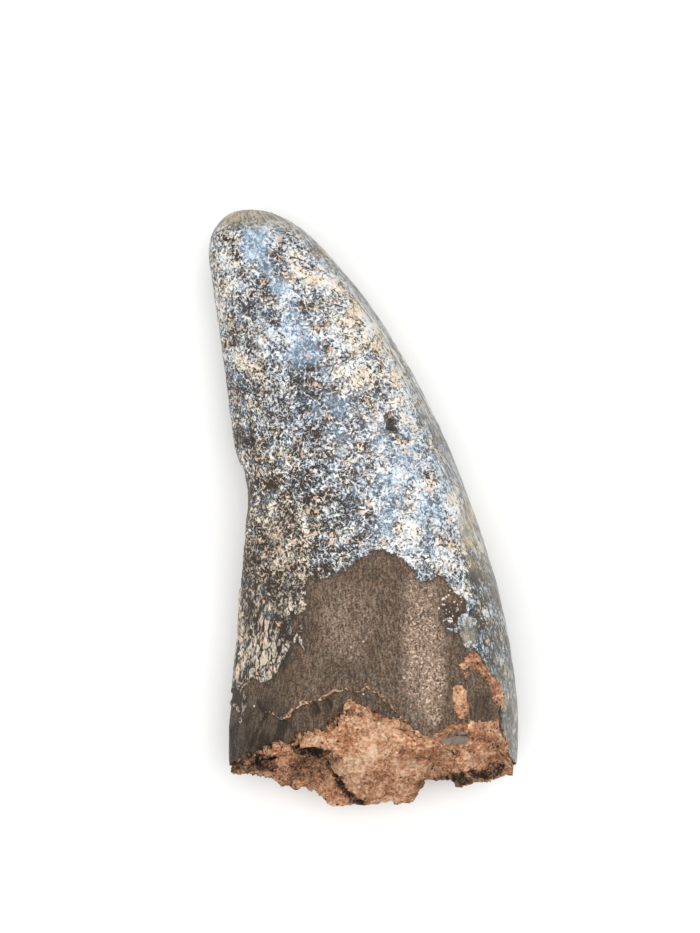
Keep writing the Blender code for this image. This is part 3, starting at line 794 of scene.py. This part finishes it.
def crown_material(colours, groups):
    """Enamel, bare dentine and stuck sandstone, each where its painted field says."""
    material, p, shader = new_material("Enamel and dentine", 0.5, 0.25)
    place = p.place()
    streak_place = p.node("Attribute", attribute_name="lengthwise").outputs["Vector"]
    enamel = p.group(
        groups["Enamel mottling"],
        place=place,
        streak_place=streak_place,
        pale=p.painted("pale"),
        warm=p.painted("warm"),
        brown=p.painted("brown"),
        blue=p.painted("blue"),
        smooth=p.painted("smooth"),
        streaked=p.painted("streaked"),
    )
    dentine = p.group(
        groups["Wrinkled dentine"],
        place=place,
        streak_place=streak_place,
        dark=p.painted("dentine_dark"),
        # The painted sheen of the dentine.
        bright=p.painted("dentine_painted_sheen"),
        specks=p.painted("specks"),
    )
    crust = p.group(
        groups["Sandstone grain"],
        place=place,
        pale=p.painted("crust_pale"),
        # Darker crust, and painted shade on the base's lowest walls.
        dark=p.painted("crust_dark_and_shade"),
    )

    crumbly = p.maths("MULTIPLY_ADD", p.lumps(place, 4.0, 2.0), 0.3, -0.15)
    enamel_edge = p.maths("ADD", p.painted("enamel"), crumbly)
    is_enamel = p.step(enamel_edge, -0.03, 0.03)
    crust_edge = p.maths("ADD", p.painted("crust"), p.maths("MULTIPLY", crumbly, 1.6))
    is_crust = p.step(crust_edge, -0.03, 0.03)

    # Painted shade: the bare dentine darkens along the foot of the enamel's raised edge.
    shade = p.maths("MULTIPLY", p.step(enamel_edge, -0.35, 0.0), 0.5)
    bare = p.mix(p.painted("worn"), dentine["Color"], colours.dentine_worn)
    bare = p.mix(shade, bare, colours.dentine_dark)
    colour = p.mix(is_enamel, bare, enamel["Color"])
    uneven = p.step(p.lumps(place, 3.0, 2.0), 0.35, 0.6, 0.5, 1.0)
    colour = p.mix(p.maths("MULTIPLY", p.painted("pit"), uneven), colour, colours.pit_brown)
    colour = p.mix(is_crust, colour, crust["Color"])
    height = p.between(is_enamel, dentine["Height"], p.maths("ADD", enamel["Height"], 0.05))
    height = p.between(is_crust, height, p.maths("ADD", crust["Height"], 0.1))
    roughness = p.between(is_enamel, dentine["Roughness"], enamel["Roughness"])
    p.join(colour, shader.inputs["Base Color"])
    p.join(p.between(is_crust, roughness, 0.95), shader.inputs["Roughness"])
    p.join(p.bump(height), shader.inputs["Normal"])
    return material


def stone_material(colours, groups):
    """The broken sandstone, with its pale boss, darker stone, and painted shade in its crack and hollows.
    """
    material, p, shader = new_material("Sandstone", 0.95, 0.2)
    grain = p.group(
        groups["Sandstone grain"], place=p.place(), pale=p.painted("pale"), dark=p.painted("dark")
    )
    colour = p.mix(p.painted("bare"), grain["Color"], colours.dentine_worn)
    p.join(colour, shader.inputs["Base Color"])
    p.join(p.bump(grain["Height"]), shader.inputs["Normal"])
    return material


def floor_material(colour):
    """Plain pale paper."""
    material, _, shader = new_material("Pale paper", 0.9)
    shader.inputs["Base Color"].default_value = (*colour, 1.0)
    return material


# The crown

def edges_by_height(points):
    """The hind and front edges' x for each point, read off the crown's own slices along y."""
    rows = np.linspace(points[:, 1].min(), points[:, 1].max(), EDGE_ROWS + 1)
    row = np.clip(np.searchsorted(rows, points[:, 1]) - 1, 0, EDGE_ROWS - 1)
    hind = np.full(EDGE_ROWS, np.inf)
    front = np.full(EDGE_ROWS, -np.inf)
    np.minimum.at(hind, row, points[:, 0])
    np.maximum.at(front, row, points[:, 0])
    middles = (rows[1:] + rows[:-1]) / 2
    return np.interp(points[:, 1], middles, hind), np.interp(points[:, 1], middles, front)


def enamel_depth(points, normals, seen):
    """Distance in from the edge of the enamel, below 0 where it is gone."""
    outer = -depth_inside(seen, BARE_ON_OUTER_FACE)
    for half_width, stroke in ENAMEL_STROKES:
        outer = np.maximum(outer, half_width - path_distance(seen, stroke))
    inner = -depth_inside(seen, BARE_ON_INNER_FACE)
    facing_up = ease(normals[:, 2], -0.15, 0.15)
    depth = inner + (outer - inner) * facing_up
    chip_face = ease(-normals[:, 0], 0.8, 0.93) * between(points[:, 1], CHIP_START, CHIP_END)
    broken_rim = ease(-normals[:, 1], 0.55, 0.75) * (points[:, 1] < BASE_BARE_BELOW)
    return depth - (depth.clip(0) + 0.3) * np.maximum(chip_face, broken_rim)


def crust_depth(points, normals, seen):
    """Distance in from the edge of the stuck sandstone, below 0 outside it."""
    depth = np.full(len(seen), -np.inf)
    for outline in (CRUST_AT_RIM, CRUST_BAND, CRUST_PATCH, CRUST_CHIP):
        depth = np.maximum(depth, depth_inside(seen, outline))
    depth = np.maximum(depth, FLAKE_LINE_HALF_WIDTH - path_distance(seen, FLAKE_EDGE))
    facing_down = fade(normals[:, 2], -0.1, 0.2)
    depth = depth + (HIDDEN_CRUST_BELOW - points[:, 1] - depth) * facing_down
    broken_rim = ease(-normals[:, 1], 0.3, 0.6) * (points[:, 1] < BASE_SANDY_BELOW)
    depth = depth + (0.5 - depth) * broken_rim
    return np.minimum(depth, -depth_inside(seen, BARE_IN_CRUST))


def paint_crown(piece):
    """Keeps the crown's painted fields, and returns those that its relief follows."""
    points, normals = surface_of(piece)
    seen = ragged(as_seen(points), points, *FINE_RAGGED)
    seen = ragged(seen, points, *WIDE_RAGGED)
    y = seen[:, 1]
    facing_up = ease(normals[:, 2], -0.2, 0.2)
    hind, front = edges_by_height(points)
    share = (points[:, 0] - hind) / (front - hind)
    from_front = front - points[:, 0]

    # Areas of the crown, along y, by the share of its width and by the distance from its front.
    tip = ease(y, 21.6, 23.6)
    front_band = fade(from_front, 0.6, 2.2) * ease(y, -10.0, -4.0)
    lower_front = fade(from_front, 1.2, 3.2) * fade(y, -6.5, -2.0)
    lower_hind = fade(share, 0.15, 0.45) * fade(y, -6.0, 6.0)
    hind_side = fade(share, 0.1, 0.4)
    middle = between(share, (0.1, 0.3), (0.5, 0.7))
    front_side = ease(share, 0.45, 0.85) * ease(y, -6.0, -2.0)
    peach_side = between(share, (0.5, 0.7), (0.8, 0.95)) * between(y, (1.0, 5.0), (17.0, 20.0))
    base_hind = ease(-seen[:, 0], 7.8, 9.4) * (y < BASE_ENDS_BELOW)
    base_face = ease(-normals[:, 1], 0.3, 0.8) * ease(-points[:, 1], 19.6, 20.6)

    cream = spots(seen, CREAM_SPOTS)
    olive = spots(seen, OLIVE_SPOTS)
    off_crack = np.min([path_distance(seen, path) for path in DENTINE_CRACKS], axis=0)
    cracked = fade(off_crack, 0.03, 0.16) * facing_up
    in_flake = depth_inside(seen, FLAKE_BELOW)
    painted = {
        "enamel": enamel_depth(points, normals, seen),
        "crust": crust_depth(points, normals, seen),
        "pale": 0.5 * front_side + 0.5 * cream + 0.07 * lower_hind + 0.2 * hind_side * ease(y, 9.0, 12.0)
        - 0.9 * spots(seen, SLATE_SPOTS) - 0.9 * lower_front - 0.45 * front_band
        - 0.42 * hind_side * fade(y, 10.0, 14.0),
        "warm": 0.22 + 0.95 * lower_hind + 0.32 * hind_side + 0.38 * peach_side
        + 0.5 * cream + 0.2 * lower_front + 0.9 * olive * (y > -7),
        "brown": spots(seen, BROWN_SPOTS) + 0.4 * middle * fade(y, 8.0, 14.0) + 0.34 * lower_hind,
        "blue": spots(seen, PALE_BLUE_SPOTS) * facing_up + 0.3 * front_side * fade(y, 7.0, 12.0),
        "smooth": np.maximum.reduce(
            [0.75 * front_band, 1.35 * tip, olive, lower_front * (0.3 + 0.45 * ease(-y, 11.0, 16.0))]
        ),
        "streaked": np.maximum.reduce(
            [front_band, lower_front, 0.85 * lower_hind * fade(y, -9.5, -4.0)]
        ),
        "dentine_dark": spots(seen, DENTINE_DARK_SPOTS) + 0.35 * (in_flake > 0) + 1.2 * cracked,
        # The painted sheen of the dentine, on faces that look up.
        "dentine_painted_sheen": spots(seen, DENTINE_PAINTED_SHEEN_SPOTS) * facing_up,
        "specks": spots(seen, SPECKLED),
        "worn": ease(depth_inside(seen, BARE_IN_CRUST), -0.3, -0.2) * facing_up,
        "crust_pale": 0.9 * fade(path_distance(seen, FLAKE_EDGE), 0.15, 0.4),
        # Darker crust, darker still at the hind end of the base, and painted shade on the base's lowest
        # walls that face -y, under the overhang.
        "crust_dark_and_shade": 0.14 + 0.5 * base_hind + 0.9 * base_face,
        "pit": np.minimum(1.4 * spots(seen, PITS), 1) * facing_up,
        "flake": ease(in_flake, -0.05, 0.12) * facing_up,
    }
    for name, values in painted.items():
        paint(piece, name, values)
    lengthwise = piece.data.attributes.new("lengthwise", "FLOAT_VECTOR", "POINT")
    along = np.stack([share * CROWN_WIDTH, points[:, 1], points[:, 2]], axis=1)
    lengthwise.data.foreach_set("vector", along.astype(np.float32).ravel())
    return painted


def shape_crown(piece, painted, sizes):
    """Lowers the bare dentine and the pits, raises the crust, and roughens each of them."""
    points, normals = surface_of(piece)
    room = room_in_box(points, "tooth_crown")
    enamel = ease(painted["enamel"], -0.1, 0.1)
    crust = ease(painted["crust"], -0.12, 0.12)
    relief(piece, room * (1 - enamel), -sizes.enamel_thickness * PER_METRE)
    relief(piece, room * painted["pit"], -sizes.pit_depth * PER_METRE)
    relief(piece, room * painted["flake"], -sizes.flake_depth * PER_METRE)
    from_middle = abs(points[:, 0] - BASE_MIDDLE)
    at_rim = ease(-normals[:, 1], 0.2, 0.5) * (points[:, 1] < BASE_SANDY_BELOW)
    at_rim *= fade(from_middle, 10.0, 11.2)
    relief(piece, room * at_rim, sizes.rim_swell * PER_METRE)
    at_ends = ease(from_middle, 10.4, 11.2) * (points[:, 1] < BASE_ENDS_BELOW)
    relief(piece, room * crust * (1 - at_ends), sizes.crust_thickness * PER_METRE)
    roughen(piece, room * crust * (1 - 0.7 * at_ends), "crust crumbs", *CRUST_CRUMBS)
    roughen(piece, room * enamel * (1 - crust), "enamel roughness", *ENAMEL_ROUGHNESS)
    roughen(piece, room * (1 - crust), "slow swells", *SLOW_SWELLS)
    keep_in_box(piece, "tooth_crown")


# The sandstone

def paint_stone(piece):
    """Keeps the sandstone's painted fields."""
    points, normals = surface_of(piece)
    seen = ragged(as_seen(points), points, *STONE_TONES_RAGGED)
    facing_up = ease(normals[:, 2], -0.3, 0.2)
    # Painted shade along the crack, and in the dark spots, together with darker stone.
    crack = fade(path_distance(seen, CRACK), 0.12, 0.62)
    paint(piece, "pale", spots(seen, STONE_PALE_SPOTS) * facing_up)
    paint(piece, "dark", np.maximum(spots(seen, STONE_DARK_AND_SHADE_SPOTS), crack) * facing_up)
    paint(piece, "bare", ease(depth_inside(seen, BARE_IN_CRUST), -0.1, 0.1) * facing_up)


def shape_stone(piece, sizes):
    """Makes the sandstone fill its socket, deepens its crack, and gives it lumps and grains."""
    points, normals = surface_of(piece)
    seen = ragged(as_seen(points), points, *STONE_CRACK_RAGGED)
    in_socket = fade(-normals[:, 1], 0.25, 0.7)
    room = room_in_box(points, "sandstone_plug")
    relief(piece, room * in_socket, sizes.socket_fill * PER_METRE)
    facing_out = ease(-normals[:, 1], 0.3, 0.8)
    shift = np.interp(points[:, 0], *np.array(LOWER_EDGE_SHIFTS).T) * facing_out
    relief(piece, shift, 1.0)
    relief(piece, -shift, -1.0)
    crack = fade(path_distance(seen, CRACK), 0.08, 0.42) * ease(normals[:, 2], 0.0, 0.4)
    relief(piece, room * crack, -sizes.crack_depth * PER_METRE)
    roughen(piece, room * (1 - in_socket), "stone lumps", *STONE_LUMPS, middle=0.55)
    roughen(piece, room * (1 - 0.6 * in_socket), "stone crumbs", *STONE_CRUMBS)
    roughen(piece, room * (1 - 0.6 * in_socket), "stone grains", *STONE_GRAINS)
    keep_in_box(piece, "sandstone_plug")


# The add-on

def colour_property(name, description, red, green, blue):
    """A colour that a user can change."""
    return bpy.props.FloatVectorProperty(
        name=name,
        description=description,
        default=(red, green, blue, 1.0),
        size=4,
        min=0.0,
        max=1.0,
        subtype="COLOR",
    )


class ToothColours(bpy.types.PropertyGroup):
    """Colours of the enamel and the dentine."""

    chalk: colour_property("Chalk", "The palest islands of the enamel", 0.8, 0.79, 0.755)
    bone_white: colour_property("Bone white", "Pale islands of the enamel", 0.66, 0.66, 0.64)
    sky_white: colour_property("Sky white", "Cool pale islands of the enamel", 0.56, 0.645, 0.74)
    tan: colour_property("Tan", "The warmest pale islands of the enamel", 0.55, 0.46, 0.36)
    cream: colour_property("Cream", "Warm pale islands of the enamel", 0.78, 0.68, 0.54)
    mid_grey: colour_property("Mid grey", "The enamel round cool gaps", 0.25, 0.275, 0.305)
    mid_brown: colour_property("Mid brown", "The enamel round warm gaps", 0.27, 0.23, 0.185)
    slate: colour_property("Slate", "Cool dark gaps in the enamel", 0.046, 0.056, 0.07)
    bark_brown: colour_property("Bark brown", "Warm dark gaps in the enamel", 0.036, 0.024, 0.016)
    cloud_blue: colour_property("Cloud blue", "Soft blue clouds in the enamel", 0.31, 0.48, 0.67)
    speck_orange: colour_property("Speck orange", "Small orange specks", 0.78, 0.4, 0.21)
    peach: colour_property("Peach", "Blushes of the warm islands", 0.8, 0.53, 0.37)
    rind_grey: colour_property("Rind grey", "The smooth edge band, darker", 0.15, 0.15, 0.13)
    rind_cream: colour_property("Rind cream", "The smooth edge band, paler", 0.49, 0.43, 0.32)
    rind_yellow: colour_property("Rind yellow", "Streaks of the edge band", 0.6, 0.5, 0.33)
    dentine_brown: colour_property("Dentine brown", "Bare dentine", 0.125, 0.075, 0.044)
    dentine_grey: colour_property("Dentine grey", "Bare dentine where it is greyer", 0.118, 0.083, 0.057)
    # The colour of the painted sheen, a painted highlight on the dentine.
    dentine_painted_sheen_colour: colour_property("Dentine painted sheen", "Bare dentine where it shines", 0.27, 0.18, 0.125)
    dentine_light: colour_property("Dentine light", "Ridges of the dentine", 0.42, 0.31, 0.23)
    dentine_shaded: colour_property("Dentine shaded", "Bare dentine where it is dark", 0.022, 0.013, 0.007)
    dentine_worn: colour_property("Dentine worn", "A bare patch in the sandstone", 0.24, 0.18, 0.14)
    # Also used for the painted shade along the foot of the enamel's edge.
    dentine_dark: colour_property("Dentine dark", "Grooves of the dentine", 0.035, 0.027, 0.022)
    # Painted glints in the sheen of the dentine.
    glint: colour_property("Glint", "Sparkling specks of the dentine", 0.66, 0.5, 0.38)
    hole_black: colour_property("Hole black", "Small holes", 0.012, 0.01, 0.009)
    pit_brown: colour_property("Pit brown", "Floors of the pits", 0.04, 0.027, 0.018)


class StoneColours(bpy.types.PropertyGroup):
    """Colours of the sandstone."""

    rust: colour_property("Rust", "The redder ground", 0.42, 0.175, 0.085)
    sand_orange: colour_property("Sand orange", "The paler ground", 0.53, 0.275, 0.155)
    sand_light: colour_property("Sand light", "Light crumbs", 0.73, 0.45, 0.28)
    sand_cream: colour_property("Sand cream", "Cream grains and the boss", 0.6, 0.46, 0.31)
    # Brown and black also serve as the painted shade in the crack and hollows.
    sand_brown: colour_property("Sand brown", "Brown grains and hollows", 0.19, 0.105, 0.062)
    sand_black: colour_property("Sand black", "Holes and deep hollows", 0.025, 0.016, 0.011)
    chalk: colour_property("Chalk", "White grains", 0.85, 0.8, 0.7)


def size_property(name, description, millimetres):
    """A length that a user can change."""
    return bpy.props.FloatProperty(
        name=name,
        description=description,
        default=millimetres * MM,
        min=0.0,
        subtype="DISTANCE",
        unit="LENGTH",
    )


class ToothSizes(bpy.types.PropertyGroup):
    """Sizes of the relief."""

    enamel_thickness: size_property("Enamel thickness", "How far bare dentine lies below the enamel", 0.16)
    pit_depth: size_property("Pit depth", "How deep the pits in the surface are", 0.3)
    flake_depth: size_property("Flake depth", "How thick a flake of dentine broke off", 0.18)
    rim_swell: size_property("Rim swell", "How far the sandy broken rim swells", 0.24)
    crust_thickness: size_property("Crust thickness", "How thick the stuck sandstone is", 0.16)
    socket_fill: size_property("Socket fill", "How far the sandstone swells into its socket", 0.34)
    crack_depth: size_property("Crack depth", "How deep the crack round the boss is", 0.65)


class StageSettings(bpy.types.PropertyGroup):
    """The floor and the light."""

    floor_colour: bpy.props.FloatVectorProperty(
        name="Floor colour",
        description="Colour of the paper under the tooth",
        default=(0.9, 0.9, 0.89),
        min=0.0,
        max=1.0,
        subtype="COLOR",
    )
    key_power: bpy.props.FloatProperty(
        name="Key light", description="Power of the large overhead light", default=7.9, unit="POWER"
    )
    fill_power: bpy.props.FloatProperty(
        name="Fill light", description="Power of the light on the hind side", default=3.9, unit="POWER"
    )
    sky_strength: bpy.props.FloatProperty(
        name="Sky", description="Strength of the even light from all round", default=0.45
    )


def shared_groups(scene):
    """The node groups by name, each built once from its colours."""
    makers = (
        ("Enamel mottling", mottling_group, scene.tooth_colours),
        ("Wrinkled dentine", dentine_group, scene.tooth_colours),
        ("Sandstone grain", sandstone_group, scene.stone_colours),
    )
    return {name: bpy.data.node_groups.get(name) or make(name, colours) for name, make, colours in makers}


class TOOTH_OT_crown(bpy.types.Operator):
    """Models the crown: enamel over dentine, with what is stuck to it"""

    bl_idname = "tooth.crown"
    bl_label = "Crown"

    def execute(self, context):
        scene = context.scene
        piece = merged_copy("tooth_crown", "enamel_and_dentine_crown")
        smooth_and_even(piece, 2, CROWN_VOXEL)
        painted = paint_crown(piece)
        shape_crown(piece, painted, scene.tooth_sizes)
        material = crown_material(scene.tooth_colours, shared_groups(scene))
        hand_in(piece, "tooth_crown", material)
        return {"FINISHED"}


class TOOTH_OT_sandstone(bpy.types.Operator):
    """Models the sandstone in the broken base"""

    bl_idname = "tooth.sandstone"
    bl_label = "Sandstone"

    def execute(self, context):
        scene = context.scene
        piece = merged_copy("sandstone_plug", "broken_sandstone")
        smooth_and_even(piece, 1, STONE_VOXEL)
        paint_stone(piece)
        shape_stone(piece, scene.tooth_sizes)
        material = stone_material(scene.tooth_colours, shared_groups(scene))
        hand_in(piece, "sandstone_plug", material)
        return {"FINISHED"}


def add_light(name, place, size, power):
    """A square soft light that shines at the tooth."""
    bpy.ops.object.light_add(type="AREA", location=place)
    light = bpy.context.object
    light.name = name
    light.data.shape = "SQUARE"
    light.data.size = size
    light.data.energy = power
    light.rotation_euler = (-Vector(place)).to_track_quat("-Z", "Y").to_euler()


def add_sky(scene, strength):
    """Even white light from all round."""
    world = bpy.data.worlds.new("Pale room")
    world.use_nodes = True
    sky = world.node_tree.nodes["Background"]
    sky.inputs["Color"].default_value = (1.0, 1.0, 1.0, 1.0)
    sky.inputs["Strength"].default_value = strength
    scene.world = world
    scene.view_settings.view_transform = "Standard"


def add_camera(scene):
    """A camera straight above, which frames the tooth as the photograph does."""
    place = Vector((*CAMERA_CENTRE, EDGE_PLANE + CAMERA_DISTANCE)) * MM
    bpy.ops.object.camera_add(location=place, rotation=(0, 0, 0))
    camera = bpy.context.object
    camera.name = "camera"
    camera.data.lens = CAMERA_LENS
    camera.data.sensor_fit = "VERTICAL"
    camera.data.sensor_height = CAMERA_SENSOR
    camera.data.clip_start, camera.data.clip_end = CAMERA_CLIP
    scene.camera = camera


class TOOTH_OT_stage(bpy.types.Operator):
    """Sets the floor, the light and the camera"""

    bl_idname = "tooth.stage"
    bl_label = "Stage"

    def execute(self, context):
        settings = context.scene.tooth_stage
        bpy.ops.object.select_all(action="DESELECT")
        bpy.ops.mesh.primitive_plane_add(size=FLOOR_SIZE)
        floor = context.object
        floor.name = "floor"
        floor.data.materials.append(floor_material(settings.floor_colour))
        add_light("key_light", KEY_PLACE, KEY_SIZE, settings.key_power)
        add_light("fill_light", FILL_PLACE, FILL_SIZE, settings.fill_power)

        add_sky(context.scene, settings.sky_strength)
        add_camera(context.scene)
        return {"FINISHED"}


class TOOTH_PT_panel(bpy.types.Panel):
    """Lists the steps and the settings"""

    bl_label = "Fossil Tooth"
    bl_idname = "TOOTH_PT_panel"
    bl_space_type = "VIEW_3D"
    bl_region_type = "UI"
    bl_category = "Fossil Tooth"

    def draw(self, context):
        for step in (TOOTH_OT_crown, TOOTH_OT_sandstone, TOOTH_OT_stage):
            self.layout.operator(step.bl_idname)
        scene = context.scene
        for settings in (scene.tooth_sizes, scene.tooth_colours, scene.stone_colours, scene.tooth_stage):
            box = self.layout.box()
            for name in settings.__annotations__:
                box.prop(settings, name)


CLASSES = (
    ToothColours,
    StoneColours,
    ToothSizes,
    StageSettings,
    TOOTH_OT_crown,
    TOOTH_OT_sandstone,
    TOOTH_OT_stage,
    TOOTH_PT_panel,
)
SETTINGS = {
    "tooth_colours": ToothColours,
    "stone_colours": StoneColours,
    "tooth_sizes": ToothSizes,
    "tooth_stage": StageSettings,
}


def register():
    for each in CLASSES:
        bpy.utils.register_class(each)
    for name, group in SETTINGS.items():
        setattr(bpy.types.Scene, name, bpy.props.PointerProperty(type=group))


def unregister():
    for name in SETTINGS:
        delattr(bpy.types.Scene, name)
    for each in reversed(CLASSES):
        bpy.utils.unregister_class(each)


def main():
    register()
    bpy.ops.tooth.crown()
    bpy.ops.tooth.sandstone()
    bpy.ops.tooth.stage()


if __name__ == "__main__":
    main()
